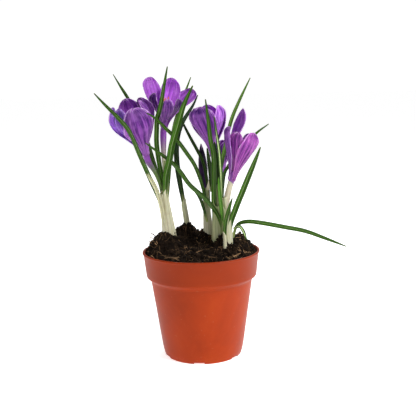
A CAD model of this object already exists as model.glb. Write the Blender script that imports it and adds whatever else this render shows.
"""Looks for a potted crocus: flowers, leaves, sheaths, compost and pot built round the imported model."""

from math import cos, pi, radians, sin, sqrt, tau
from random import Random

import bmesh
import bpy
from bpy.props import (
    FloatProperty,
    FloatVectorProperty,
    IntProperty,
    PointerProperty,
)
from mathutils import Matrix, Vector, noise


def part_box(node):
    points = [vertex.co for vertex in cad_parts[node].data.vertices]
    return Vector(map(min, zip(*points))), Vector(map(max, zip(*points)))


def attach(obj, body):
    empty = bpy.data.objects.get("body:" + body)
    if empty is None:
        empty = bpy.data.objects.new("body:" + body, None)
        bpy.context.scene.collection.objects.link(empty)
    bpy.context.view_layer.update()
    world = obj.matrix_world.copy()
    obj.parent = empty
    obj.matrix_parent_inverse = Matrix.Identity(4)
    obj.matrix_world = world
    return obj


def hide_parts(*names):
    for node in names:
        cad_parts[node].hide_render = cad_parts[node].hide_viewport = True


bl_info = {
    "name": "Potted Crocus",
    "version": (1, 0, 0),
    "blender": (4, 5, 0),
    "location": "3D View > Sidebar > Crocus",
    "description": "Builds a flowering crocus clump in a nursery pot round its packed model",
    "category": "Object",
}

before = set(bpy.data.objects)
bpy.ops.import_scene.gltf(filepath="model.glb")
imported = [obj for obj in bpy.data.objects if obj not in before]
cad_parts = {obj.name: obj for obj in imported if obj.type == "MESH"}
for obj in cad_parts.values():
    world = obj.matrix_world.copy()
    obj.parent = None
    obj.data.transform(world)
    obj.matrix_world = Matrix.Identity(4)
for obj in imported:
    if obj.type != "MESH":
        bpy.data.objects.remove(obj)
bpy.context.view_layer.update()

MM = 0.001
BODY = "root"

POT_LOW, POT_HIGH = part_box("pot")
RIM = POT_HIGH.x / MM
POT_TOP = POT_HIGH.z / MM
FOOT_RADIUS = 30.0
POT_FLOOR = 1.6
FIRST_SLOT = -96  # degrees from +X
SLOT_REACH = 14  # length of the cutter, in and out

# Places and sizes in these tables are in millimetres

# Sheaths: (base, base radius, top, top radius)
SHEATHS = {
    "left_sheath": ((-23.5, 1.5, 84), 5.6, (-27.5, 0.5, 128), 2.9),
    "back_sheath": ((-9.2, 17.5, 88), 1.9, (-13.0, 18.0, 116), 1.7),
    "middle_sheath": ((6.5, 4.0, 84), 3.4, (4.5, 4.5, 126), 1.9),
    "pointed_sheath": ((14.0, -3.5, 82), 3.6, (13.8, -3.5, 131), 1.0),
    "right_sheath": ((21.0, -13.0, 82), 3.4, (18.6, -12.5, 121), 1.9),
}

SHEATH_THICKNESS = 0.3
SHEATH_TURNS = 1.12  # more than one, because the edges overlap
# Added to the radius of a wrap's foot, and half of it to its top
SHEATH_EXTRA = {"pointed_sheath": 0.4, "back_sheath": 0.5, "right_sheath": 0.3, "middle_sheath": 0.5}
# A pale strip that curls away from the left sheath
SHEATH_STRIP = ((-27.5, -2.5, 95), (-28.5, -4, 109.8), (-29.7, -5, 118.4), (-32.3, -6, 129.3),
                (-38.2, -7, 141.6), (-43.7, -8, 151.6))

# Leaves: (width, way the upper side faces in degrees from -Y towards +X, route from root to tip)
LEAVES = {
    "left_leaf_long": (3.6, -20, (
        (-30.6, -1.5, 120), (-37, -6, 138), (-43, -15, 156), (-49, -24, 174), (-56, -28, 184),
        (-65, -31, 194), (-72, -32, 202))),
    "left_leaf_behind_flower": (3.4, -30, (
        (-29.5, 3.5, 129), (-33, 8, 142), (-37, 13.5, 155), (-41, 18, 168), (-45.5, 19, 180),
        (-51.2, 16.5, 193), (-53.9, 13, 199.1), (-58.1, 8, 207), (-62, 0, 215.5))),
    "left_leaf_upright": (3.4, -5, (
        (-27.6, 4.2, 130), (-30, 3, 147), (-31.5, 1, 163), (-31, -1, 174), (-30, -5, 183),
        (-27, -9, 192), (-21, -12, 220))),
    "left_leaf_rear": (2.8, 10, (
        (-24.2, 5.0, 128), (-22, 9, 151), (-19.1, 20, 173), (-14.2, 33, 190), (-5.2, 40, 213))),
    "left_leaf_broad": (4.6, 5, (
        (-26.0, -2.8, 129), (-25, -4, 140), (-22, -6.5, 151), (-19.5, -8, 163), (-15, -9, 177),
        (-10, -9.5, 192), (-3, -10, 206))),
    "back_leaf": (4.4, -22, (
        (-13.3, 18, 117), (-15.5, 18.5, 131), (-17.5, 19, 148), (-17, 21, 164), (-13, 25, 177),
        (-4, 28, 191), (0, 29, 199))),
    "crossing_leaf_upper": (2.8, -25, (
        (3.0, 1.2, 127), (-2.5, 0, 145), (-9, -1, 156), (-17, -2.2, 167.5), (-24, -7, 175.3),
        (-31, -14, 183.2), (-36.4, -20, 187.2))),
    "crossing_leaf_lower": (3.2, -25, (
        (16.2, -9.5, 100), (13, -9, 110), (5, -6, 121), (-7, -4, 132), (-14, -2.5, 142),
        (-20, -1.5, 149), (-27, -4, 155), (-39, -10, 165))),
    "middle_leaf_slender": (2.4, -25, (
        (6.4, 5.8, 128), (3.5, 6.5, 147), (-1, 8.5, 157), (-7, 14, 168), (-13, 20, 180),
        (-16, 23, 186))),
    "middle_leaf_broad": (3.4, 8, (
        (10.5, -6, 118), (11, -10, 137), (11, -14, 155), (9, -17, 167), (8, -18, 178),
        (6, -20, 196))),
    "middle_leaf_striped": (2.8, 20, (
        (16.8, -7.2, 126), (16.5, -12, 138), (15.5, -17, 156), (13.5, -19, 172), (12, -20, 184))),
    "right_leaf_tall": (3.0, 20, (
        (15.4, 0.4, 132), (17, 2, 146), (21, 3, 163), (25, 4, 179), (31, 5, 193), (40, 5, 211))),
    "right_leaf_rear": (2.4, 15, (
        (18.4, 1.2, 136), (23, 3, 146), (33, 6, 158), (44, 9, 169), (54, 11, 176))),
    "right_leaf_broad": (4.2, 10, (
        (22.6, -17.2, 104), (27, -18.5, 117), (31.5, -20, 128), (36, -21, 139), (41, -22, 151),
        (45, -23, 161))),
    "arching_leaf": (3.0, 25, (
        (25.6, -12.5, 97), (28, -14.5, 103), (35, -19, 106), (46, -21, 105), (62, -23, 102),
        (77, -25, 99), (91, -28, 94), (106, -30, 88))),
    "front_leaf_short": (2.6, 10, (
        (18.0, -18.8, 89), (18.2, -19.2, 100), (19.5, -20, 109), (24, -21, 124))),
}

# Where each leaf's foot runs on down inside its sheath
LEAF_FEET = {
    "left_leaf_long": (-27.6, -0.6, 108),
    "left_leaf_behind_flower": (-26.8, 2.0, 112),
    "left_leaf_upright": (-26.0, 2.2, 112),
    "left_leaf_rear": (-25.4, 2.4, 112),
    "left_leaf_broad": (-26.4, -0.6, 114),
    "back_leaf": (-11.6, 17.8, 104),
    "crossing_leaf_upper": (5.5, 2.2, 106),
    "crossing_leaf_lower": (18.2, -11.0, 91),
    "middle_leaf_slender": (7.4, 4.6, 102),
    "middle_leaf_broad": (11.4, -5.0, 92),
    "middle_leaf_striped": (16.2, -8.0, 94),
    "right_leaf_tall": (14.4, -1.6, 100),
    "right_leaf_rear": (16.2, -2.0, 104),
    "right_leaf_broad": (20.8, -15.4, 90),
    "arching_leaf": (23.2, -12.6, 89),
}

# Small leaves that stand among the others and have no solid of their own
EXTRA_LEAVES = {
    "back_leaf_second": (2.4, 30, (
        (-12.6, 17.4, 116), (-15, 17, 131), (-17, 16.5, 146), (-19, 16, 158))),
    "middle_leaf_dark": (2.4, -25, (
        (5.1, -1.0, 103.1), (2.0, -0.5, 116.2), (-1.6, 0.0, 124.7), (-7.2, 1.0, 131.6),
        (-13.1, 2.0, 138.9))),
    "right_leaf_curled": (2.4, 30, (
        (24.6, -15.5, 100), (29, -19, 102.5), (32, -21.5, 99), (34, -23, 93))),
    "right_leaf_bright": (2.6, 5, ((18.0, -16.5, 101), (15.6, -17.5, 120), (14.2, -18.5, 139))),
    "middle_leaf_inner": (3.0, 0, (
        (9.0, 0.5, 126), (8.6, -3, 140), (7.4, -5, 152), (6.4, -6, 160))),
    "middle_leaf_shaded": (3.2, 12, (
        (12.6, -1.0, 120), (13.4, -6.5, 135), (13.2, -10, 150), (12.0, -13, 165))),
}

# Flowers: throat is where the petals start, lean is the axis' tilt per unit of height, petals hold
# (turn, length, width, spread), the three outer ones first
FLOWERS = {
    "left_flower": {
        "throat": (-40, 3, 155), "lean": (-0.29, -0.25), "cup": 14.5, "belly": 0.8,
        "tube": ((-28.6, -1.0, 129.5), (-33, 1, 141)),
        "petals": ((16, 41, 26, 0.03), (136, 43, 20, 0.06), (-106, 43, 19, 0.05),
                   (-43, 43, 19, 0.01), (78, 43, 18, 0.0), (190, 45, 20, 0.02)),
    },
    "upper_flower": {
        "throat": (-26.5, 15, 175), "lean": (0.12, -0.24), "cup": 10.5, "belly": 0.5,
        "tube": ((-25.4, 2.2, 129.5), (-26.8, 7, 149)),
        "petals": ((-138, 40, 17, 0.36), (8, 30, 10, 0.30), (134, 35, 20, 0.50),
                   (-50, 30, 12, 0.14), (58, 27, 13, 0.18), (166, 39, 17, 0.14)),
    },
    "middle_flower": {
        "throat": (11.5, 1.5, 153.4), "lean": (-0.13, -0.05), "cup": 12.8, "belly": 0.0,
        "tube": ((6.0, 3.0, 127.5), (9.5, 2.0, 138)),
        "petals": ((-22, 40.5, 24, 0.06), (116, 37, 16, 0.0), (-138, 38, 16, 0.04),
                   (62, 38.5, 18, 0.02), (-79, 38.5, 15, 0.02), (179, 39, 18, 0.0)),
    },
    "right_flower": {
        "throat": (24.2, -10.5, 136), "lean": (0.27, -0.05), "cup": 9.6, "belly": 0.1,
        "tube": ((18.9, -12.0, 122), (20.6, -11.5, 127)),
        "petals": ((32, 41, 16, 0.09), (146, 37, 14, 0.04), (-70, 41, 13, 0.11),
                   (-34, 38, 15, 0.06), (88, 38, 14, -0.01), (-154, 32, 13, -0.06)),
    },
    "rear_flower": {
        "throat": (19.5, 27, 147), "lean": (0.22, -0.05), "cup": 9.0, "belly": 0.6,
        "tube": ((12.2, 4.2, 95), (14.0, 15, 120)),
        "petals": ((52, 16, 10, 0.02), (172, 17, 11, 0.02), (-68, 15, 10, 0.0),
                   (116, 45, 17, 0.06), (-8, 16, 10, -0.02), (-128, 16, 11, -0.02)),
    },
}
# Petal tones: (brightness against the settings, tint, whether the top is deep, whether the rim is pale)
PETAL_LOOKS = {
    "bright": (1.75, (1.0, 1.2, 1.0), False, True),
    "light": (1.12, (1.0, 1.1, 0.97), False, True),
    "mid": (0.92, (1.0, 1.0, 1.0), True, True),
    "deep": (0.55, (1.0, 1.0, 1.0), True, False),
    "rose": (1.05, (1.25, 0.98, 0.92), False, True),
    "blue": (1.25, (0.85, 1.35, 1.10), True, True),
}
# The tone of each flower's petals, in their order
PETAL_TONES = {
    "left_flower": ("mid", "mid", "blue", "blue", "light", "mid"),
    "upper_flower": ("light", "mid", "light", "mid", "deep", "bright"),
    "middle_flower": ("mid", "light", "light", "bright", "mid", "bright"),
    "right_flower": ("rose", "mid", "light", "rose", "mid", "deep"),
    "rear_flower": ("mid", "mid", "deep", "light", "mid", "mid"),
}
WHORL_OFFSET = 0.9  # the outer petals stand this far outside the cup's wall, the inner ones inside
THROAT_RADIUS = 2.0
TUBE_RADIUS = 1.1
WIDEST = 0.64  # share of a petal's length at which it is broadest
WIDEST_WRAP = 0.88  # how far a petal may wrap to each side, in radians

# Bracts under two of the flowers: (foot radius, how much it narrows, steps, sides, route)
BRACTS = {
    "right_flower_bract": (2.5, 0.5, 16, 24, (
        (19.2, -12.6, 112), (20.3, -12.0, 122), (22.2, -11.2, 130), (23.6, -10.7, 135))),
    "upper_flower_bract": (2.0, 1.1, 12, 20, (
        (-25.6, 2.6, 128), (-25.8, 4.4, 140), (-26.2, 6.2, 150))),
}

BUD_FOOT = (3.4, 13, 127)
BUD_TOP = (1.8, 13.5, 162)
BUD_STEM_FOOT = (4.6, 12.2, 96)
BUD_RADIUS = 3.5
BUD_STEM_RADIUS = 1.5

MERGE = 0.001  # points closer than this are one

# Compost: a level fill with mounds, each (x, y, height, spread)
FILL_LEVEL = 80.2
BELL_BASE = 2.718
MOUND_OVERLAP = 0.35  # how much of the lower mound adds to the higher where two meet
MOUNDS = (
    (-12, 17, 18.5, 13),
    (-27, -1, 17.0, 13),
    (6, 7, 15.0, 13),
    (29, 4, 12.0, 10),
    (20, -10, 15.0, 10),
    (4, -16, 5.0, 16),
)
STRAWS = 34
LEFT_STRAWS = 16  # how many of them lie by the left rim
LONG_FIBRES = 31  # how many of the fibres are longer
LONG_SHARE = 1.6  # and by how much
# Strips of bark: (start, end, radius)
BARK = (
    ((-27, -27), (-14, -24), 0.75),
    ((2, -30), (12, -33), 0.5),
    ((-6, -22), (4, -17), 0.4),
    ((24, -26), (33, -17), 0.45),
)


def colour_property(name, description, default):
    return FloatVectorProperty(name=name, description=description, subtype="COLOR", size=3, min=0,
                               max=1, default=default)


def length_property(name, description, default):
    return FloatProperty(name=name, description=description, unit="LENGTH", min=0, default=default)


class CrocusPotProperties(bpy.types.PropertyGroup):
    wall: length_property("Wall", "Thickness of the moulded wall", 1.3 * MM)
    collar: length_property("Collar", "Height of the collar under the rim", 18.8 * MM)
    bead: length_property("Lip", "Height of the rolled lip", 1.5 * MM)
    slot_width: length_property("Slot width", "Width of each drain slot", 8.0 * MM)
    slot_height: length_property("Slot height", "Height of each drain slot", 1.3 * MM)
    slots: IntProperty(name="Slots", description="Drain slots round the foot", min=0, default=6)
    sides: IntProperty(name="Sides", description="Steps round the pot", min=24, default=144)
    colour: colour_property("Colour", "Moulded plastic", (0.36, 0.036, 0.003))


class CrocusCompostProperties(bpy.types.PropertyGroup):
    crumbs: IntProperty(name="Crumbs", description="Small lumps on the surface", min=0, default=2600)
    fibres: IntProperty(name="Fibres", description="Fine strands on the surface", min=0, default=430)
    colour: colour_property("Colour", "Damp compost", (0.010, 0.0055, 0.003))
    fibre_colour: colour_property("Fibre colour", "Dry strands and bark", (0.34, 0.20, 0.10))


class CrocusLeafProperties(bpy.types.PropertyGroup):
    thickness: length_property("Thickness", "Thickness of a leaf", 0.45 * MM)
    colour: colour_property("Colour", "Green of a leaf", (0.042, 0.128, 0.003))
    stripe: colour_property("Stripe", "Pale line down the middle of a leaf", (0.50, 0.62, 0.30))
    sheath: colour_property("Sheath", "Papery wrap at the foot", (0.66, 0.63, 0.42))


class CrocusFlowerProperties(bpy.types.PropertyGroup):
    thickness: length_property("Thickness", "Thickness of a petal", 0.35 * MM)
    pale: colour_property("Pale", "Foot and highlights of a petal", (0.44, 0.16, 0.58))
    mid: colour_property("Mid", "Body of a petal", (0.235, 0.050, 0.36))
    deep: colour_property("Deep", "Tip and veins of a petal", (0.060, 0.008, 0.145))
    stigma: colour_property("Stigma", "Stigma in the middle of a flower", (0.85, 0.20, 0.02))


class CrocusStageProperties(bpy.types.PropertyGroup):
    distance: length_property("Distance", "From the pot's axis to the camera", 0.550)
    height: length_property("Height", "Camera above the floor", 0.2022)
    side: length_property("Side", "Camera to the right of the pot's axis", 0.0061)
    pitch: FloatProperty(name="Pitch", description="How far the camera looks down", subtype="ANGLE",
                         default=radians(9.14))
    roll: FloatProperty(name="Roll", description="Turn of the camera about its view", subtype="ANGLE",
                        default=radians(-1.30))
    lens: FloatProperty(name="Lens", description="Focal length for a 36 mm wide sensor",
                        subtype="DISTANCE_CAMERA", default=63.17)


# ---------------------------------------------------------------- materials


class Finish:
    """One procedural material, built node by node round its Principled shader."""

    def __init__(self, name):
        self.material = bpy.data.materials.new(name)
        self.material.use_nodes = True
        self.tree = self.material.node_tree
        self.shader = self.tree.nodes["Principled BSDF"]

    def set(self, **values):
        for name, value in values.items():
            self.shader.inputs[name.replace("_", " ")].default_value = value

    def wire(self, source, name):
        self.tree.links.new(source, self.shader.inputs[name])

    def node(self, kind, *inputs, **settings):
        made = self.tree.nodes.new(kind)
        for name, value in settings.items():
            setattr(made, name, value)
        for socket, value in inputs:
            if isinstance(value, bpy.types.NodeSocket):
                self.tree.links.new(value, made.inputs[socket])
            else:
                made.inputs[socket].default_value = value
        return made

    def place(self, scale=(1, 1, 1), kind="Object"):
        """Stretched coordinates: Object in metres, or the piece's own UV."""
        source = self.node("ShaderNodeTexCoord").outputs[kind]
        return self.node("ShaderNodeMapping", ("Vector", source), ("Scale", scale)).outputs["Vector"]

    def grain(self, vector, scale, detail=3.0, rough=0.5, distortion=0.0):
        made = self.node("ShaderNodeTexNoise", ("Vector", vector), ("Scale", scale), ("Detail", detail),
                         ("Roughness", rough), ("Distortion", distortion))
        return made.outputs["Fac"]

    def ramp(self, factor, *stops):
        made = self.node("ShaderNodeValToRGB", ("Fac", factor))
        band = made.color_ramp
        while len(band.elements) < len(stops):
            band.elements.new(0.5)
        for element, (position, colour) in zip(band.elements, stops):
            element.position = position
            element.color = (*colour, 1) if len(colour) == 3 else colour
        return made.outputs["Color"]

    def fade(self, value, low, high, to_low=0.0, to_high=1.0):
        made = self.node("ShaderNodeMapRange", ("Value", value), ("From Min", low), ("From Max", high),
                         ("To Min", to_low), ("To Max", to_high), interpolation_type="SMOOTHSTEP")
        return made.outputs["Result"]

    def sum(self, operation, first, second=0.0):
        return self.node("ShaderNodeMath", (0, first), (1, second), operation=operation).outputs[0]

    def blend(self, factor, first, second, mode="MIX"):
        made = self.node("ShaderNodeMix", ("Factor", factor), data_type="RGBA", blend_type=mode)
        for socket, value in ((6, first), (7, second)):
            if isinstance(value, bpy.types.NodeSocket):
                self.tree.links.new(value, made.inputs[socket])
            else:
                made.inputs[socket].default_value = (*value, 1)
        return made.outputs[2]

    def stain(self, body, colour, value, low, high, to_low=0.0, to_high=1.0):
        """Lays a colour over the body by how far the value is from low to high."""
        return self.blend(self.fade(value, low, high, to_low, to_high), body, colour)

    def bump(self, height, distance, strength=1.0):
        made = self.node("ShaderNodeBump", ("Height", height), ("Distance", distance),
                         ("Strength", strength))
        self.wire(made.outputs["Normal"], "Normal")

    def across_and_along(self):
        """The piece's own width (0 to 1) and length (0 to 1)."""
        split = self.node("ShaderNodeSeparateXYZ", ("Vector", self.place(kind="UV")))
        return split.outputs["X"], split.outputs["Y"]


def dimmed(colour, share):
    return tuple(channel * share for channel in colour)


def pot_finish(colour):
    """Thin moulded plastic: faint clouding, flow marks and a satin surface."""
    look = Finish("pot_plastic")
    place = look.place()
    cloud = look.grain(place, 22, 4, 0.6, 0.6)
    flow = look.grain(look.place((60, 60, 9)), 1.0, 3, 0.6)
    dust = look.grain(place, 420, 2)
    body = look.ramp(cloud, (0.30, dimmed(colour, 0.80)), (0.52, colour),
                     (0.75, (colour[0] * 1.14, colour[1] * 1.35, colour[2] * 1.5)))
    body = look.stain(body, dimmed(colour, 0.72), flow, 0.55, 0.80, 0.0, 0.30)
    body = look.stain(body, (0.42, 0.14, 0.07), dust, 0.66, 0.76, 0.0, 0.25)
    height = look.node("ShaderNodeSeparateXYZ", ("Vector", place)).outputs["Z"]
    body = look.stain(body, dimmed(colour, 0.62), height, 0.060, 0.066, 0.0, 0.55)
    look.wire(body, "Base Color")
    look.wire(look.fade(cloud, 0.3, 0.7, 0.36, 0.50), "Roughness")
    look.bump(look.sum("ADD", cloud, look.sum("MULTIPLY", dust, 0.12)), 0.0004, 0.35)
    look.set(Specular_IOR_Level=0.12)
    return look.material


def compost_finish(colour):
    """Damp, crumbly peat."""
    look = Finish("compost")
    place = look.place()
    coarse = look.grain(place, 210, 6, 0.7)
    fine = look.grain(place, 900, 4, 0.7)
    tone = look.ramp(coarse, (0.30, dimmed(colour, 0.35)), (0.52, colour), (0.70, dimmed(colour, 2.6)))
    tone = look.stain(tone, (0.10, 0.058, 0.030), fine, 0.62, 0.74, 0.0, 0.55)
    look.wire(tone, "Base Color")
    look.bump(look.sum("ADD", coarse, fine), 0.0011, 0.9)
    look.set(Roughness=0.9, Specular_IOR_Level=0.10)
    return look.material


def fibre_finish(name, colour):
    """Dry strands and bark, darker where they are damp."""
    look = Finish(name)
    tone = look.grain(look.place(), 95, 2, 0.6)
    streak = look.grain(look.place((40, 3, 1), "UV"), 1.0, 3)
    body = look.ramp(tone, (0.36, dimmed(colour, 0.10)), (0.50, dimmed(colour, 0.40)),
                     (0.66, dimmed(colour, 1.7)))
    body = look.stain(body, dimmed(colour, 0.35), streak, 0.4, 0.7, 0.0, 0.5)
    look.wire(body, "Base Color")
    look.bump(streak, 0.0003, 0.6)
    look.set(Roughness=0.75, Specular_IOR_Level=0.15)
    return look.material


def leaf_finish(name, colour, stripe, stripe_width, paleness):
    """Glossy green blade with fine lengthwise grooves, a pale middle line and a whitish foot."""
    look = Finish(name)
    across, along = look.across_and_along()
    off_middle = look.sum("ABSOLUTE", look.sum("SUBTRACT", across, 0.5))
    grooves = look.grain(look.place((34, 1.5, 1), "UV"), 1.0, 3, 0.6)
    patch = look.grain(look.place(), 60, 3, 0.6)
    body = look.ramp(grooves, (0.30, dimmed(colour, 0.55)), (0.52, colour),
                     (0.74, (colour[0] * 2.0, colour[1] * 1.7, colour[2] * 2.2)))
    body = look.stain(body, dimmed(colour, 0.62), patch, 0.35, 0.7, 0.0, 0.45)
    body = look.stain(body, dimmed(colour, 0.42), across, 0.46, 0.54, 0.0, 0.40)
    body = look.stain(body, dimmed(colour, 0.35), off_middle, 0.38, 0.48, 0.0, 0.60)
    line = look.fade(off_middle, stripe_width, stripe_width * 1.7, 1.0, 0.0)
    line = look.sum("MULTIPLY", line, look.fade(along, 0.80, 0.98, paleness, 0.0))
    body = look.blend(line, body, stripe)
    body = look.stain(body, (0.38, 0.44, 0.16), along, 0.02, 0.20, 0.75, 0.0)
    body = look.stain(body, (0.16, 0.13, 0.03), along, 0.97, 1.0, 0.0, 0.3)
    look.wire(body, "Base Color")
    look.wire(look.fade(grooves, 0.3, 0.7, 0.30, 0.46), "Roughness")
    look.bump(look.sum("SUBTRACT", grooves, line), 0.00022, 0.55)
    look.set(Subsurface_Weight=0.12, Subsurface_Radius=(0.4, 1.0, 0.15), Subsurface_Scale=0.0012,
             Specular_IOR_Level=0.22)
    return look.material


def sheath_finish(name, colour, vein, green):
    """Papery white wrap with thin brown veins that runs green towards its top."""
    look = Finish(name)
    along = look.across_and_along()[1]
    ribs = look.grain(look.place((46, 1.2, 1), "UV"), 1.0, 4, 0.65)
    patch = look.grain(look.place(), 130, 4, 0.6)
    body = look.ramp(ribs, (0.30, dimmed(colour, 0.55)), (0.48, dimmed(colour, 0.92)),
                     (0.70, (colour[0] * 1.2, colour[1] * 1.2, colour[2] * 1.35)))
    lines = look.grain(look.place((70, 0.8, 1), "UV"), 1.0, 2)
    body = look.stain(body, vein, lines, 0.56, 0.66, 0.0, 0.75)
    body = look.stain(body, vein, patch, 0.5, 0.75, 0.0, 0.35)
    body = look.stain(body, (0.24, 0.32, 0.10), along, 0.30, 1.0, 0.0, green)
    body = look.stain(body, (0.20, 0.13, 0.06), along, 0.0, 0.16, 0.65, 0.0)
    look.wire(body, "Base Color")
    look.bump(ribs, 0.0004, 0.6)
    look.set(Roughness=0.52, Subsurface_Weight=0.25, Subsurface_Radius=(1.0, 0.8, 0.4),
             Subsurface_Scale=0.0015)
    return look.material


def petal_finish(name, pale, mid, deep, crown, rim, vein_share):
    """Silky petal: pale foot, fuller colour above, veins along it and light catching its crinkled rim."""
    look = Finish(name)
    across, along = look.across_and_along()
    off_middle = look.sum("ABSOLUTE", look.sum("SUBTRACT", across, 0.5))
    streaks = look.grain(look.place((9, 0.9, 1), "UV"), 1.0, 3, 0.6, 0.3)
    veins = look.grain(look.place((30, 1.3, 1), "UV"), 1.0, 3, 0.6, 0.2)
    crinkle = look.grain(look.place((13, 8, 1), "UV"), 1.0, 3, 0.6, 0.8)
    cloud = look.grain(look.place(), 110, 3, 0.5)
    body = look.ramp(along, (0.03, pale), (0.34, mid), (0.58, mid), (0.78, crown), (0.90, crown),
                     (0.98, mid))
    body = look.stain(body, deep, streaks, 0.49, 0.56, 0.0, vein_share)
    body = look.stain(body, pale, streaks, 0.45, 0.36, 0.0, 0.80)
    body = look.stain(body, deep, veins, 0.51, 0.57, 0.0, vein_share * 0.75)
    body = look.stain(body, pale, veins, 0.44, 0.37, 0.0, 0.50)
    body = look.stain(body, pale, cloud, 0.45, 0.70, 0.0, 0.40)
    near_rim = look.sum("MAXIMUM", look.fade(off_middle, 0.38, 0.49), look.fade(along, 0.86, 0.98))
    body = look.blend(look.sum("MULTIPLY", near_rim, 0.55), body, rim)
    glint = look.sum("MULTIPLY", near_rim, look.fade(crinkle, 0.48, 0.60, 0.0, 0.90))
    body = look.blend(glint, body, (0.66, 0.42, 0.78))
    look.wire(body, "Base Color")
    folds = look.sum("ADD", streaks, look.sum("MULTIPLY", veins, 0.6))
    look.bump(look.sum("ADD", folds, crinkle), 0.0008, 0.7)
    look.set(Roughness=0.5, Subsurface_Weight=0.30, Subsurface_Radius=(0.8, 0.35, 1.0),
             Subsurface_Scale=0.0012, Sheen_Weight=0.05, Specular_IOR_Level=0.14)
    return look.material


def tube_finish(name, foot, top):
    """Slim flower tube, creamy below and tinted towards the flower."""
    look = Finish(name)
    along = look.across_and_along()[1]
    ribs = look.grain(look.place((14, 0.8, 1), "UV"), 1.0, 3)
    body = look.blend(look.fade(along, 0.30, 0.75), foot, top)
    body = look.stain(body, dimmed(top, 0.7), ribs, 0.5, 0.75, 0.0, 0.4)
    look.wire(body, "Base Color")
    look.bump(ribs, 0.0002, 0.5)
    look.set(Roughness=0.5, Subsurface_Weight=0.35, Subsurface_Radius=(1.0, 0.7, 0.8),
             Subsurface_Scale=0.0015)
    return look.material


def plain_finish(name, colour, roughness=0.6, grain=500):
    look = Finish(name)
    tone = look.grain(look.place(), grain, 3)
    look.wire(look.ramp(tone, (0.3, dimmed(colour, 0.6)), (0.7, dimmed(colour, 1.2))), "Base Color")
    look.bump(tone, 0.0003, 0.5)
    look.set(Roughness=roughness, Subsurface_Weight=0.2, Subsurface_Scale=0.001)
    return look.material


# ---------------------------------------------------------------- shapes


def ease(value):
    value = min(max(value, 0.0), 1.0)
    return value * value * (3 - 2 * value)


def sheet(columns, rows):
    """A flat unit grid whose UV map keeps each point's place across and along."""
    mesh_data = bmesh.new()
    uv = mesh_data.loops.layers.uv.new("UVMap")
    bmesh.ops.create_grid(mesh_data, x_segments=columns, y_segments=rows, size=0.5)
    for face in mesh_data.faces:
        for loop in face.loops:
            loop[uv].uv = (loop.vert.co.x + 0.5, loop.vert.co.y + 0.5)
    return mesh_data


def seal(mesh_data, merge):
    """Merges a rolled sheet's edges, fills its two ends and turns its faces outwards."""
    bmesh.ops.remove_doubles(mesh_data, verts=mesh_data.verts, dist=merge)
    bmesh.ops.holes_fill(mesh_data, edges=[edge for edge in mesh_data.edges if edge.is_boundary])
    bmesh.ops.recalc_face_normals(mesh_data, faces=mesh_data.faces)


def spun(section, steps):
    """A shell turned about the pot's axis from its section's (radius, height) corners."""
    mesh_data = bmesh.new()
    corners = [mesh_data.verts.new((radius, 0, height)) for radius, height in section]
    edges = [mesh_data.edges.new(pair) for pair in zip(corners, corners[1:])]
    bmesh.ops.spin(mesh_data, geom=corners + edges, cent=(0, 0, 0), axis=(0, 0, 1), angle=tau,
                   steps=steps, use_merge=True)
    bmesh.ops.remove_doubles(mesh_data, verts=mesh_data.verts, dist=MERGE)
    return mesh_data


def link_object(name, mesh_data):
    """Writes a bmesh as one object in the scene and frees it."""
    mesh = bpy.data.meshes.new(name)
    mesh_data.to_mesh(mesh)
    mesh_data.free()
    made = bpy.data.objects.new(name, mesh)
    bpy.context.scene.collection.objects.link(made)
    return made


def bend(mesh_data, shape):
    """Moves each point of a sheet to shape(across, along)."""
    for vert in mesh_data.verts:
        vert.co = shape(vert.co.x + 0.5, vert.co.y + 0.5)


def finish_piece(name, mesh_data, materials, nodes=(), thickness=0.0, inner=0):
    """Writes a bmesh in millimetres as one piece in metres that rides on the model.

    The thickness is in metres, and inner is how many slots on its inner side's material is.
    """
    bmesh.ops.scale(mesh_data, vec=(MM, MM, MM), verts=mesh_data.verts)
    piece = link_object(name, mesh_data)
    for material in materials:
        piece.data.materials.append(material)
    piece.data.polygons.foreach_set("use_smooth", [True] * len(piece.data.polygons))
    if thickness:
        wall = piece.modifiers.new("Thickness", "SOLIDIFY")
        wall.thickness = thickness
        wall.offset = 0
        wall.material_offset = inner
    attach(piece, BODY)
    if nodes:
        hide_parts(*nodes)
    return piece


def smooth_route(points, stations):
    """Evenly spaced points on a Catmull-Rom curve through the given ones."""
    knots = [Vector(p) for p in points]
    knots = [2 * knots[0] - knots[1]] + knots + [2 * knots[-1] - knots[-2]]
    steps = 12  # points between two given ones
    fine = []
    for a, b, c, d in zip(knots, knots[1:], knots[2:], knots[3:]):
        for k in range(steps):
            t = k / steps
            fine.append(0.5 * (2 * b + (c - a) * t + (2 * a - 5 * b + 4 * c - d) * t * t
                               + (3 * b - a - 3 * c + d) * t ** 3))
    fine.append(knots[-2])
    lengths = [0.0]
    for a, b in zip(fine, fine[1:]):
        lengths.append(lengths[-1] + (b - a).length)
    route = []
    k = 0
    for i in range(stations + 1):
        target = lengths[-1] * i / stations
        while k < len(fine) - 2 and lengths[k + 1] < target:
            k += 1
        share = (target - lengths[k]) / (lengths[k + 1] - lengths[k])
        route.append(fine[k].lerp(fine[k + 1], min(share, 1.0)))
    return route


def tangent(route, i):
    return (route[min(i + 1, len(route) - 1)] - route[max(i - 1, 0)]).normalized()


def blade_width(t):
    """A leaf's width along its length: narrow at the root, parallel-sided, then drawn out to a point."""
    root = 0.62 + 0.38 * ease(t / 0.35)
    point = 1.0 if t < 0.45 else 1 - ((t - 0.45) / 0.58) ** 3
    return root * max(point, 0.0)


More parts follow.
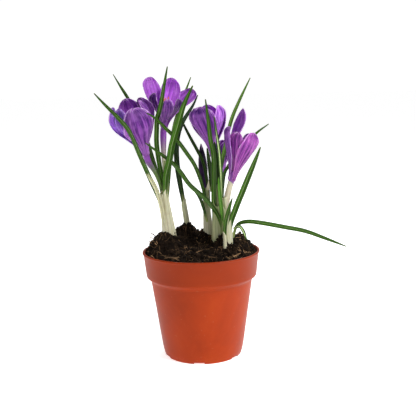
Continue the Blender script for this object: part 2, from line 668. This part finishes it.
def build_leaf(name, width, facing, points, material, thickness, nodes=()):
    """A channelled blade with a raised keel that follows its route."""
    rows = 44
    route = smooth_route(points, rows)
    face = Vector((sin(radians(facing)), -cos(radians(facing)), 0.25))
    wander = Random(name)
    twist = wander.uniform(-0.25, 0.25)

    def shape(u, v):
        i = round(v * rows)
        along = tangent(route, i)
        side = along.cross(face).normalized()
        up = side.cross(along)
        turn = twist * ease(v)
        side, up = side * cos(turn) + up * sin(turn), up * cos(turn) - side * sin(turn)
        half = 0.5 * width * blade_width(v)
        offset = 2 * u - 1
        channel = -0.75 * half * (1 - abs(offset) ** 1.3)
        return route[i] + side * (half * offset) + up * channel

    mesh_data = sheet(8, rows)
    bend(mesh_data, shape)
    bmesh.ops.remove_doubles(mesh_data, verts=mesh_data.verts, dist=0.01)
    return finish_piece(name, mesh_data, [material], nodes, thickness)


def build_round(name, route, radii, sides, materials, nodes=(), lobes=0, lobe_depth=0.0,
                twist=0.0):
    """A closed round stem whose radius changes along its route."""
    rows = len(route) - 1

    def shape(u, v):
        i = round(v * rows)
        along = tangent(route, i)
        side = along.cross(Vector((0, 1, 0))).normalized()
        front = side.cross(along)
        angle = tau * u
        radius = radii[i] * (1 + lobe_depth * cos(lobes * angle + twist * v))
        return route[i] + radius * (side * cos(angle) + front * sin(angle))

    mesh_data = sheet(sides, rows)
    bend(mesh_data, shape)
    seal(mesh_data, MERGE)
    return finish_piece(name, mesh_data, materials, nodes)


def flower_axes(flower):
    """Unit vectors to the flower's front, side and top."""
    top = Vector((*flower["lean"], 1)).normalized()
    side = Vector((0, 1, 0)).cross(top).normalized()
    front = side.cross(top).normalized()
    return front, side, top


def petal_width(t):
    """Half-outline of a petal: a narrow claw, a broad upper half and a rounded tip."""
    claw = 0.20 + 0.80 * ease(t / WIDEST)
    if t <= WIDEST:
        return claw
    return max(1 - ((t - WIDEST) / (1.0 - WIDEST)) ** 2.6, 0.0) ** 0.5


def cup_point(cup, belly, length, spread, t):
    """Radius and height of a petal's mid-line: out of the throat, round the cup and in at the tip."""
    radius_guides = (THROAT_RADIUS, THROAT_RADIUS - 0.4 + belly + 0.1 * spread * length,
                     cup * (1.45 + 0.17 * belly) + 0.45 * spread * length,
                     cup * (0.84 - 0.12 * belly) + spread * length)
    height_guides = (0.0, (0.42 - 0.06 * belly) * length, (0.66 - 0.14 * belly) * length,
                     length * (0.98 - 0.35 * spread))
    weights = ((1 - t) ** 3, 3 * t * (1 - t) ** 2, 3 * t * t * (1 - t), t ** 3)
    radius = sum(w * g for w, g in zip(weights, radius_guides))
    height = sum(w * g for w, g in zip(weights, height_guides))
    return radius, height


def build_petal(name, flower, petal, outer, materials, thickness):
    """A thin cupped petal with a softly waved rim."""
    turn, length, width, spread = petal
    front, side, top = flower_axes(flower)
    throat = Vector(flower["throat"])
    out = front * cos(radians(turn)) + side * sin(radians(turn))
    across = top.cross(out)
    shift = WHORL_OFFSET if outer else -WHORL_OFFSET
    wander = Random(name)
    phase = wander.uniform(0, tau)
    lean = wander.uniform(-0.06, 0.06)

    def shape(u, v):
        s = 2 * u - 1
        t = 1 - (1 - v) ** 1.35
        radius, height = cup_point(flower["cup"], flower["belly"], length, spread, t)
        radius += shift
        full = petal_width(t)
        angle = min(0.5 * width * full / radius, WIDEST_WRAP) * s
        rim = abs(s) ** 3 * ease(t / 0.5)
        wave = 0.45 * rim * sin(9 * t + phase + 2 * s)
        pleats = 0.16 * sin(11 * s + phase) * ease(t / 0.4) * (1 - 0.6 * t)
        pleats += 0.07 * sin(23 * s + 5 * phase)
        crease = -0.5 * (1 - abs(s)) ** 2 * ease(t / 0.6)
        curl = -0.9 * ease((t - 0.86) / 0.14)
        ruffle = 0.42 * full * ease((t - 0.66) / 0.3) * sin(9 * s + 2 * phase + 3 * t)
        away = radius + wave + crease + pleats + curl + ruffle
        drop = 0.45 * rim * cos(7 * t + phase)
        drop += 0.8 * full * ease((t - 0.8) / 0.2) * sin(8 * s + phase)
        angle += lean * ease(t) * (1 - abs(s))
        return throat + out * (away * cos(angle)) + across * (away * sin(angle)) + top * (height + drop)

    mesh_data = sheet(26, 34)
    bend(mesh_data, shape)
    bmesh.ops.remove_doubles(mesh_data, verts=mesh_data.verts, dist=0.01)
    bmesh.ops.recalc_face_normals(mesh_data, faces=mesh_data.faces)
    heart = throat + top * (0.5 * length)
    mesh_data.faces.ensure_lookup_table()
    sample = mesh_data.faces[len(mesh_data.faces) // 2]
    if sample.normal.dot(sample.calc_center_median() - heart) < 0:
        bmesh.ops.reverse_faces(mesh_data, faces=mesh_data.faces)
    return finish_piece(name, mesh_data, materials, [name], thickness, inner=1)


def build_flower_heart(name, flower, stigma_material, stamen_material):
    """Three stamens and a frilled three-armed stigma in the middle of a flower."""
    front, side, top = flower_axes(flower)
    throat = Vector(flower["throat"])
    reach = 0.60 * flower["petals"][0][1]
    rows = 10
    arms = 3
    for kind, radius, spread, start, colour in (("stamen", 0.75, 3.2, 60, stamen_material),
                                                ("stigma", 0.6, 2.2, 0, stigma_material)):
        whole = bmesh.new()
        for k in range(arms):
            turn = radians(start + 360 * k / arms)
            out = front * cos(turn) + side * sin(turn)
            tall = reach * (0.80 if kind == "stamen" else 1.0)
            points = (throat + top * 1.0, throat + top * (0.45 * tall) + out * (0.4 * spread),
                      throat + top * tall + out * spread)
            route = smooth_route(points, rows)
            part = sheet(8, rows)

            def shape(u, v, route=route):
                i = round(v * rows)
                along = tangent(route, i)
                across = along.cross(out).normalized()
                ahead = across.cross(along)
                swell = 0.35 + 0.65 * ease((v - 0.45) / 0.2)
                if kind == "stigma":
                    swell = 0.3 + 0.9 * ease((v - 0.6) / 0.35)
                size = radius * swell * (1 if v < 0.99 else 0.4)
                return route[i] + size * (across * cos(tau * u) + ahead * sin(tau * u))

            bend(part, shape)
            seal(part, MERGE)
            join(whole, part)
        finish_piece(f"{name}_{kind}s", whole, [colour])


def join(whole, part):
    """Adds one bmesh to another and frees it."""
    carrier = bpy.data.meshes.new("carrier")
    part.to_mesh(carrier)
    part.free()
    whole.from_mesh(carrier)
    bpy.data.meshes.remove(carrier)


def batches(whole, count, size=60):
    """Numbers count shapes and hands each a small bmesh, which is quicker to add to than the whole."""
    batch = bmesh.new()
    for k in range(count):
        if k % size == size - 1:
            join(whole, batch)
            batch = bmesh.new()
        yield k, batch
    join(whole, batch)


def build_sheath(name, base, base_radius, top, top_radius, material, nodes=(), slant=3.0):
    """A papery wrap whose edges overlap, open and slanted at its top."""
    base = Vector(base)
    top = Vector(top)
    axis = (top - base).normalized()
    side = axis.cross(Vector((0, 1, 0))).normalized()
    front = side.cross(axis)
    length = (top - base).length
    wander = Random(name)
    phase = wander.uniform(0, tau)

    def shape(u, v):
        angle = tau * SHEATH_TURNS * (u - 0.5) - pi / 2 + 0.5
        radius = base_radius + (top_radius - base_radius) * ease(v)
        radius += 0.22 * (u - 0.5) + 0.06 * base_radius * sin(5 * angle + phase) * (1 - 0.6 * v)
        height = length * v + slant * v * v * sin(angle + phase)
        return base + axis * height + radius * (side * cos(angle) - front * sin(angle))

    mesh_data = sheet(56, 36)
    bend(mesh_data, shape)
    bmesh.ops.recalc_face_normals(mesh_data, faces=mesh_data.faces)
    return finish_piece(name, mesh_data, [material], nodes, SHEATH_THICKNESS * MM)


def compost_height(x, y):
    """Height of the compost's top: level at the rim and mounded round the plants."""
    rim = RIM - 1.3
    edge = ease((rim - sqrt(x * x + y * y)) / 7.0)
    rise = 0.0
    for centre_x, centre_y, height, spread in MOUNDS:
        far = ((x - centre_x) ** 2 + (y - centre_y) ** 2) / (spread * spread)
        bulk = height * BELL_BASE ** -far
        rise = max(rise, bulk) + MOUND_OVERLAP * min(rise, bulk)
    return FILL_LEVEL + rise * edge


def crumb_height(x, y):
    """The compost's top with its lumps."""
    place = Vector((x, y, 0))
    lumps = (noise.noise(place * 0.16) * 1.6 + noise.noise(place * 0.42) * 1.1
             + noise.noise(place * 1.1) * 0.6)
    inside = ease((RIM - 2.2 - sqrt(x * x + y * y)) / 3.0)
    return compost_height(x, y) - 0.4 + lumps * (0.25 + 0.75 * inside)


class CROCUS_OT_stage(bpy.types.Operator):
    """Add the camera, the soft lights and the pale floor"""

    bl_idname = "crocus.stage"
    bl_label = "Stage"

    def execute(self, context):
        settings = context.scene.crocus_stage
        lens = bpy.data.cameras.new("camera")
        lens.lens = settings.lens
        lens.sensor_width = 36
        camera = bpy.data.objects.new("camera", lens)
        place = Matrix.Translation((settings.side, -settings.distance, settings.height))
        level = Matrix.Rotation(radians(90) - settings.pitch, 4, "X")
        camera.matrix_world = place @ (level @ Matrix.Rotation(settings.roll, 4, "Z"))
        context.scene.collection.objects.link(camera)
        context.scene.camera = camera
        for name, place, size, power in (("key", (0.70, -0.55, 0.95), 0.35, 12.5),
                                         ("fill", (-0.9, -0.7, 0.45), 0.9, 1.2),
                                         ("back", (0.25, 0.9, 0.9), 0.8, 6.0)):
            light = bpy.data.lights.new(name, "AREA")
            light.size = size
            light.energy = power
            lamp = bpy.data.objects.new(name, light)
            lamp.location = place
            towards = Vector((0, 0, 0.12)) - Vector(place)
            lamp.rotation_euler = towards.to_track_quat("-Z", "Y").to_euler()
            context.scene.collection.objects.link(lamp)
        self.world(context)
        floor_data = bmesh.new()
        bmesh.ops.create_circle(floor_data, cap_ends=True, segments=96, radius=40.0)
        floor = link_object("floor", floor_data)
        look = Finish("floor")
        cloud = look.grain(look.place(), 3, 2)
        look.wire(look.ramp(cloud, (0.3, (0.90, 0.90, 0.90)), (0.7, (0.93, 0.93, 0.93))), "Base Color")
        look.set(Roughness=0.7, Specular_IOR_Level=0.2, Emission_Color=(1, 1, 1, 1),
                 Emission_Strength=0.74)
        floor.data.materials.append(look.material)
        context.scene.view_settings.view_transform = "Standard"
        return {"FINISHED"}

    def world(self, context):
        """White surroundings that look brighter than they light."""
        world = bpy.data.worlds.new("surroundings")
        world.use_nodes = True
        context.scene.world = world
        tree = world.node_tree
        back = tree.nodes["Background"]
        back.inputs["Color"].default_value = (1, 1, 1, 1)
        path = tree.nodes.new("ShaderNodeLightPath")
        strength = tree.nodes.new("ShaderNodeMapRange")
        strength.inputs["To Min"].default_value = 0.28
        strength.inputs["To Max"].default_value = 1.05
        tree.links.new(path.outputs["Is Camera Ray"], strength.inputs["Value"])
        tree.links.new(strength.outputs["Result"], back.inputs["Strength"])


class CROCUS_OT_pot(bpy.types.Operator):
    """Build the moulded pot with its collar, lip and drain slots"""

    bl_idname = "crocus.pot"
    bl_label = "Pot"

    def profile(self, settings):
        """Radius and height round the wall's section: from under the middle, up, and down inside."""
        wall = settings.wall / MM
        bead = settings.bead / MM
        collar_bottom = POT_TOP - settings.collar / MM
        outside = [(0, 0), (29.0, 0), (29.7, 0.25), (FOOT_RADIUS, 0.8), (30.6, 3.0), (31.2, 5.5),
                   (31.8, 9.0), (38.85, collar_bottom - 4.6), (39.1, collar_bottom - 3.0),
                   (39.8, collar_bottom - 2.4), (41.9, collar_bottom - 0.6), (42.35, collar_bottom),
                   (42.45, collar_bottom + 0.6),
                   (RIM - 0.75, POT_TOP - bead - 0.3), (RIM - 0.6, POT_TOP - bead),
                   (RIM - 0.1, POT_TOP - 0.75 * bead), (RIM, POT_TOP - 0.5 * bead),
                   (RIM - 0.15, POT_TOP - 0.15 * bead), (RIM - 0.55, POT_TOP)]
        inside = [(RIM - wall - 0.1, POT_TOP), (RIM - wall - 0.4, POT_TOP - 0.4),
                  (42.4 - wall, collar_bottom + 1.5), (39.0 - wall, collar_bottom - 3.6),
                  (31.2 - wall, 5.5), (28.0, POT_FLOOR), (0, POT_FLOOR)]
        return outside + inside

    def execute(self, context):
        settings = context.scene.crocus_pot
        mesh_data = spun(self.profile(settings), settings.sides)
        bmesh.ops.recalc_face_normals(mesh_data, faces=mesh_data.faces)
        plastic = pot_finish(tuple(settings.colour))
        pot = finish_piece("moulded_pot", mesh_data, [plastic], ["pot"])
        self.cut_slots(pot, settings)
        return {"FINISHED"}

    def cut_slots(self, pot, settings):
        """Cuts the drain slots out of the pot's foot."""
        slots = bmesh.new()
        for k in range(settings.slots):
            turn = Matrix.Rotation(radians(FIRST_SLOT) + tau * k / settings.slots, 4, "Z")
            place = turn @ Matrix.Translation((FOOT_RADIUS * MM, 0, 0))
            size = Matrix.Diagonal((SLOT_REACH * MM, settings.slot_width, 2 * settings.slot_height, 1))
            bmesh.ops.create_cube(slots, size=1, matrix=place @ size)
        tool = link_object("slot_cutter", slots)
        cut = pot.modifiers.new("Slots", "BOOLEAN")
        cut.object = tool
        cut.solver = "EXACT"
        depsgraph = bpy.context.evaluated_depsgraph_get()
        solid = bpy.data.meshes.new_from_object(pot.evaluated_get(depsgraph))
        pot.modifiers.clear()
        pot.data = solid
        bpy.data.objects.remove(tool)


class CROCUS_OT_compost(bpy.types.Operator):
    """Fill the pot with lumpy compost, crumbs and fibres"""

    bl_idname = "crocus.compost"
    bl_label = "Compost"

    def execute(self, context):
        settings = context.scene.crocus_compost
        colour = tuple(settings.colour)
        dark = compost_finish(colour)
        dry = fibre_finish("dry_fibre", tuple(settings.fibre_colour))
        self.fill(dark)
        self.crumbs(settings.crumbs, dark)
        self.fibres(settings.fibres, dry)
        return {"FINISHED"}

    def fill(self, material):
        """The body of compost, with its top lifted to the lumpy surface."""
        edge = 43.1
        rings = 60
        wall = [(0, 1.9), (27.7, 1.9), (29.6, 5.5), (37.4, 59.2), (40.8, 64.4), (edge, FILL_LEVEL - 0.6)]
        top = [(edge * (1 - k / rings), FILL_LEVEL) for k in range(1, rings + 1)]
        mesh_data = spun(wall + top, 200)
        for vert in mesh_data.verts:
            if vert.co.z > FILL_LEVEL - 0.3:
                vert.co.z = crumb_height(vert.co.x, vert.co.y)
        bmesh.ops.recalc_face_normals(mesh_data, faces=mesh_data.faces)
        finish_piece("compost_fill", mesh_data, [material], ["compost"])

    def spot(self, chance):
        """A place anywhere on the compost."""
        reach = (RIM - 3.0) * sqrt(chance.random())
        turn = chance.uniform(0, tau)
        x = reach * cos(turn)
        y = reach * sin(turn)
        return Vector((x, y, crumb_height(x, y)))

    def beside_sheath(self, chance):
        """A place against the foot of one of the sheaths."""
        base, radius = chance.choice(list(SHEATHS.values()))[:2]
        turn = chance.uniform(0, tau)
        reach = radius + chance.uniform(0.2, 2.2)
        x = base[0] + reach * cos(turn)
        y = base[1] + reach * sin(turn)
        return Vector((x, y, crumb_height(x, y) + 0.3))

    def crumbs(self, count, material):
        chance = Random("crumbs")
        whole = bmesh.new()
        for k, batch in batches(whole, count):
            place = self.spot(chance)
            if k % 9 == 0:
                place = self.beside_sheath(chance)
            size = 0.35 + 1.5 * chance.random() ** 3
            stretch = Matrix.Diagonal((size * chance.uniform(0.7, 1.3), size * chance.uniform(0.7, 1.3),
                                       size * chance.uniform(0.5, 1.0), 1))
            turn = Matrix.Rotation(chance.uniform(0, tau), 4,
                                   (chance.uniform(-1, 1), chance.uniform(-1, 1), 1))
            made = bmesh.ops.create_icosphere(batch, subdivisions=1, radius=1,
                                              matrix=Matrix.Translation(place) @ turn @ stretch)
            for vert in made["verts"]:
                vert.co += (vert.co - place) * chance.uniform(-0.25, 0.35)
        finish_piece("compost_crumbs", whole, [material])

    def fibres(self, count, material):
        chance = Random("fibres")
        whole = bmesh.new()
        inside = RIM - 2.6
        for k, batch in batches(whole, count):
            start = self.spot(chance)
            heading = chance.uniform(0, tau)
            length = chance.uniform(3, 13) * (LONG_SHARE if k < LONG_FIBRES else 1)
            bendy = chance.uniform(-0.16, 0.16)
            points = []
            steps = 5
            for step in range(steps + 1):
                place = start + Vector((cos(heading), sin(heading), 0)) * (length * step / steps)
                reach = sqrt(place.x ** 2 + place.y ** 2)
                if reach > inside:
                    place.xy = place.xy * (inside / reach)
                heading += bendy * chance.uniform(0.5, 1.5)
                lift = 0.15 + 0.9 * chance.random() * (step % 2)
                place.z = crumb_height(place.x, place.y) + lift
                points.append(place)
            strand(batch, points, chance.uniform(0.06, 0.16))
        self.straws(whole, chance)
        finish_piece("compost_fibres", whole, [material])

    def straws(self, whole, chance):
        """Thicker straws that stick out of the heap by its rim, and strips of bark that lie on it."""
        for k in range(STRAWS):
            turn = pi + chance.uniform(-0.5, 0.35) if k < LEFT_STRAWS else chance.uniform(0, tau)
            reach = chance.uniform(33, 40.5)
            foot = Vector((reach * cos(turn), reach * sin(turn), 0))
            foot.z = crumb_height(foot.x, foot.y) - 0.6
            out = Vector((cos(turn + chance.uniform(-1.2, 1.2)),
                          sin(turn + chance.uniform(-1.2, 1.2)), 0))
            length = chance.uniform(3.5, 7.5)
            lift = chance.uniform(0.25, 1.0)
            middle = foot + out * (0.30 * length) + Vector((0, 0, lift * 0.45 * length))
            tip = foot + out * (0.62 * length) + Vector((0, 0, lift * 0.75 * length))
            strand(whole, (foot, middle, tip), chance.uniform(0.16, 0.34))
        for start, end, radius in BARK:
            points = []
            for share in (0, 0.33, 0.66, 1):
                place = Vector((*start, 0)).lerp(Vector((*end, 0)), share)
                place.z = crumb_height(place.x, place.y) + radius
                points.append(place)
            strand(whole, points, radius)


def strand(whole, points, radius):
    """Adds one thin tapered strand to a bmesh."""
    rows = 8
    route = smooth_route(points, rows)
    part = sheet(4, rows)

    def shape(u, v):
        i = round(v * rows)
        along = tangent(route, i)
        side = along.cross(Vector((0.1, 0.2, 1))).normalized()
        up = side.cross(along)
        size = radius * (1 - 0.7 * abs(2 * v - 1) ** 3)
        return route[i] + size * (side * cos(tau * u) + up * sin(tau * u))

    bend(part, shape)
    seal(part, 0.5 * MERGE)
    join(whole, part)


class CROCUS_OT_sheaths(bpy.types.Operator):
    """Wrap the foot of each plant in its papery sheaths"""

    bl_idname = "crocus.sheaths"
    bl_label = "Sheaths"

    def execute(self, context):
        settings = context.scene.crocus_leaf
        cream = tuple(settings.sheath)
        white = sheath_finish("sheath_white", cream, (0.30, 0.20, 0.09), 0.15)
        green = sheath_finish("sheath_green", dimmed(cream, 0.75), (0.16, 0.12, 0.05), 0.75)
        fresh = sheath_finish("sheath_fresh", cream, (0.30, 0.34, 0.10), 0.35)
        brown = sheath_finish("sheath_brown", dimmed(cream, 0.62), (0.14, 0.09, 0.04), 0.65)
        looks = {"left_sheath": white, "right_sheath": fresh, "pointed_sheath": brown,
                 "back_sheath": fresh}
        for name, (base, base_radius, top, top_radius) in SHEATHS.items():
            extra = SHEATH_EXTRA.get(name, 0.0)
            build_sheath(f"{name}_wrap", base, base_radius + extra, top, top_radius + 0.5 * extra,
                         looks.get(name, green), [name])
        olive = sheath_finish("sheath_olive", (0.50, 0.52, 0.27), (0.16, 0.20, 0.06), 0.75)
        for name, base, base_radius, top, top_radius, look, slant in (
                ("pointed_sheath_outer", (13.2, -2.4, 84), 4.6, (13.2, -4.7, 125), 3.4, olive, 9.0),
                ("front_sheath_wrap", (18.4, -18.4, 85), 1.25, (18.0, -18.6, 97), 1.2, white, 2.0),
                ("right_sheath_outer", (21.8, -14.2, 84), 3.0, (19.4, -14.0, 118), 3.4, fresh, 5.0)):
            build_sheath(name, base, base_radius, top, top_radius, look, slant=slant)
        build_leaf("left_sheath_strip", 3.0, -15, SHEATH_STRIP, fresh, 0.4 * MM)
        return {"FINISHED"}


class CROCUS_OT_leaves(bpy.types.Operator):
    """Grow the narrow striped leaves"""

    bl_idname = "crocus.leaves"
    bl_label = "Leaves"

    def execute(self, context):
        settings = context.scene.crocus_leaf
        colour = tuple(settings.colour)
        stripe = tuple(settings.stripe)
        fresh = leaf_finish("leaf_fresh", colour, stripe, 0.045, 0.35)
        dark = leaf_finish("leaf_dark", dimmed(colour, 0.55), stripe, 0.05, 0.20)
        blue = leaf_finish("leaf_blue", (0.030, 0.075, 0.028), stripe, 0.05, 0.15)
        striped = leaf_finish("leaf_striped", dimmed(colour, 0.8), dimmed(stripe, 1.15), 0.17, 0.95)
        light = leaf_finish("leaf_light", (0.095, 0.22, 0.022), stripe, 0.05, 0.3)
        bright = leaf_finish("leaf_bright", (0.085, 0.26, 0.012), stripe, 0.05, 0.4)
        looks = {"middle_leaf_striped": striped, "back_leaf": blue, "back_leaf_second": dark,
                 "middle_leaf_slender": dark, "middle_leaf_dark": dark, "middle_leaf_inner": dark,
                 "middle_leaf_shaded": dark, "right_leaf_bright": bright, "right_leaf_curled": striped,
                 "right_leaf_tall": light, "left_leaf_rear": light}
        for name, (width, facing, points) in (*LEAVES.items(), *EXTRA_LEAVES.items()):
            if name in LEAF_FEET:
                points = (LEAF_FEET[name], *points)
            build_leaf(f"{name}_blade", width, facing, points, looks.get(name, fresh),
                       settings.thickness, [name] if name in LEAVES else ())
        return {"FINISHED"}


class CROCUS_OT_flowers(bpy.types.Operator):
    """Open the five flowers on their tubes"""

    bl_idname = "crocus.flowers"
    bl_label = "Flowers"

    def execute(self, context):
        settings = context.scene.crocus_flower
        colours = (tuple(settings.pale), tuple(settings.mid), tuple(settings.deep))
        looks = {}
        for tone, (share, tint, deep_top, pale_rim) in PETAL_LOOKS.items():
            pale, mid, deep = (tuple(share * a * b for a, b in zip(colour, tint)) for colour in colours)
            looks[tone] = [petal_finish(f"petal_{tone}_outside", pale, mid, deep,
                                        deep if deep_top else mid, pale if pale_rim else deep, 0.85),
                           petal_finish(f"petal_{tone}_inside", dimmed(pale, 1.15), dimmed(mid, 1.4),
                                        dimmed(mid, 0.8), dimmed(mid, 1.3), mid, 0.65)]
        cream = tube_finish("tube_cream", (0.72, 0.68, 0.46), colours[1])
        papery = sheath_finish("bract_cream", (0.66, 0.60, 0.42), (0.42, 0.28, 0.22), 0.05)
        green = sheath_finish("bract_green", (0.30, 0.36, 0.14), (0.14, 0.15, 0.05), 0.4)
        stigma = plain_finish("stigma", tuple(settings.stigma), 0.55)
        stamen = plain_finish("stamen", (0.85, 0.55, 0.08), 0.7, 900)
        leafy = tube_finish("tube_leafy", (0.11, 0.20, 0.03), colours[1])
        for name, flower in FLOWERS.items():
            self.tube(name, flower, leafy if name == "left_flower" else cream)
            for k, petal in enumerate(flower["petals"]):
                build_petal(f"{name}_petal_{k + 1}", flower, petal, k < 3, looks[PETAL_TONES[name][k]],
                            settings.thickness)
            build_flower_heart(name, flower, stigma, stamen)
        self.bud()
        for (name, (radius, narrowing, rows, sides, points)), look in zip(BRACTS.items(), (papery, green)):
            radii = [radius - narrowing * (k / rows) ** 2 for k in range(rows + 1)]
            build_round(name, smooth_route(points, rows), radii, sides, [look])
        return {"FINISHED"}

    def tube(self, name, flower, material):
        """The slim tube under a flower, which flares into the throat."""
        rows = 24
        top = flower_axes(flower)[2]
        throat = Vector(flower["throat"])
        route = smooth_route((*flower["tube"], throat - top * 6, throat, throat + top * 7), rows)
        flare = THROAT_RADIUS + 0.3 - TUBE_RADIUS
        radii = [TUBE_RADIUS + 0.2 + flare * ease(1.3 * i / rows) ** 2 for i in range(rows + 1)]
        build_round(f"{name}_tube_skin", route, radii, 20, [material], [f"{name}_tube"])

    def bud(self):
        """The closed bud on its stem."""
        darkest = (0.010, 0.003, 0.020)
        purple = petal_finish("bud_purple", (0.070, 0.020, 0.11), (0.030, 0.007, 0.055), darkest,
                              darkest, darkest, 0.6)
        foot = Vector(BUD_FOOT)
        top = Vector(BUD_TOP)
        stem_rows = 10
        rows = 26
        route = [Vector(BUD_STEM_FOOT).lerp(foot, k / stem_rows) for k in range(stem_rows)]
        radii = [BUD_STEM_RADIUS] * stem_rows
        for k in range(rows + 1):
            t = k / rows
            route.append(foot.lerp(top, t))
            radii.append(max(BUD_RADIUS * sin(pi * (0.12 + 0.87 * t)) ** 0.8, 0.25))
        build_round("bud_spindle", route, radii, 36, [purple], ["bud"], lobes=3,
                    lobe_depth=0.07, twist=5.0)


class CROCUS_PT_panel(bpy.types.Panel):
    """Lists the pieces of the potted crocus"""

    bl_label = "Potted Crocus"
    bl_idname = "CROCUS_PT_panel"
    bl_space_type = "VIEW_3D"
    bl_region_type = "UI"
    bl_category = "Crocus"

    def draw(self, context):
        layout = self.layout
        scene = context.scene
        for group in SETTINGS:
            settings = getattr(scene, group)
            box = layout.box()
            for name in settings.__annotations__:
                box.prop(settings, name)
        for operator in OPERATORS:
            layout.operator(operator.bl_idname)


OPERATORS = (CROCUS_OT_stage, CROCUS_OT_pot, CROCUS_OT_compost, CROCUS_OT_sheaths,
             CROCUS_OT_leaves, CROCUS_OT_flowers)
SETTINGS = {
    "crocus_stage": CrocusStageProperties,
    "crocus_pot": CrocusPotProperties,
    "crocus_compost": CrocusCompostProperties,
    "crocus_leaf": CrocusLeafProperties,
    "crocus_flower": CrocusFlowerProperties,
}


def register():
    for name, group in SETTINGS.items():
        bpy.utils.register_class(group)
        setattr(bpy.types.Scene, name, PointerProperty(type=group))
    for operator in OPERATORS:
        bpy.utils.register_class(operator)
    bpy.utils.register_class(CROCUS_PT_panel)


def unregister():
    bpy.utils.unregister_class(CROCUS_PT_panel)
    for operator in reversed(OPERATORS):
        bpy.utils.unregister_class(operator)
    for name, group in SETTINGS.items():
        delattr(bpy.types.Scene, name)
        bpy.utils.unregister_class(group)


def main():
    register()
    bpy.ops.crocus.stage()
    bpy.ops.crocus.pot()
    bpy.ops.crocus.compost()
    bpy.ops.crocus.sheaths()
    bpy.ops.crocus.leaves()
    bpy.ops.crocus.flowers()
    bpy.context.view_layer.update()


if __name__ == "__main__":
    main()
